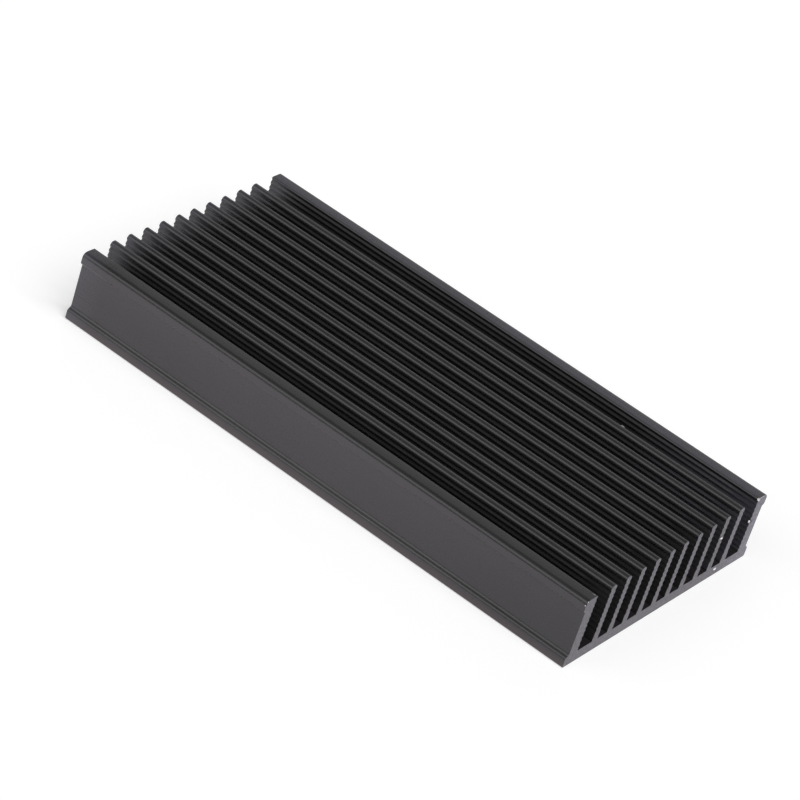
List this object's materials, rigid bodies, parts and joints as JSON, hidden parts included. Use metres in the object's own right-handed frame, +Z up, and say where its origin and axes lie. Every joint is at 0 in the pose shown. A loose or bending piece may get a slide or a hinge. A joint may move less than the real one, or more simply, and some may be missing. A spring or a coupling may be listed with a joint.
{
  "type": "heat sink",
  "caption": "Extruded aluminium heat sink with a flat base, a row of straight grooved fins and two side walls with a top lip and a bottom flange, cut to length and black anodised.",
  "frame": {"origin": "middle of the flat underside", "axes": "+X along the extrusion and its fins, +Y across the fins, +Z up from the underside to the fin tips"},
  "size_m": [0.12, 0.0602, 0.0148],
  "materials": {
    "anodised_aluminium": "matt black anodised"
  },
  "bodies": {
    "root": {"heat_sink": "anodised_aluminium"}
  },
  "joints": []
}
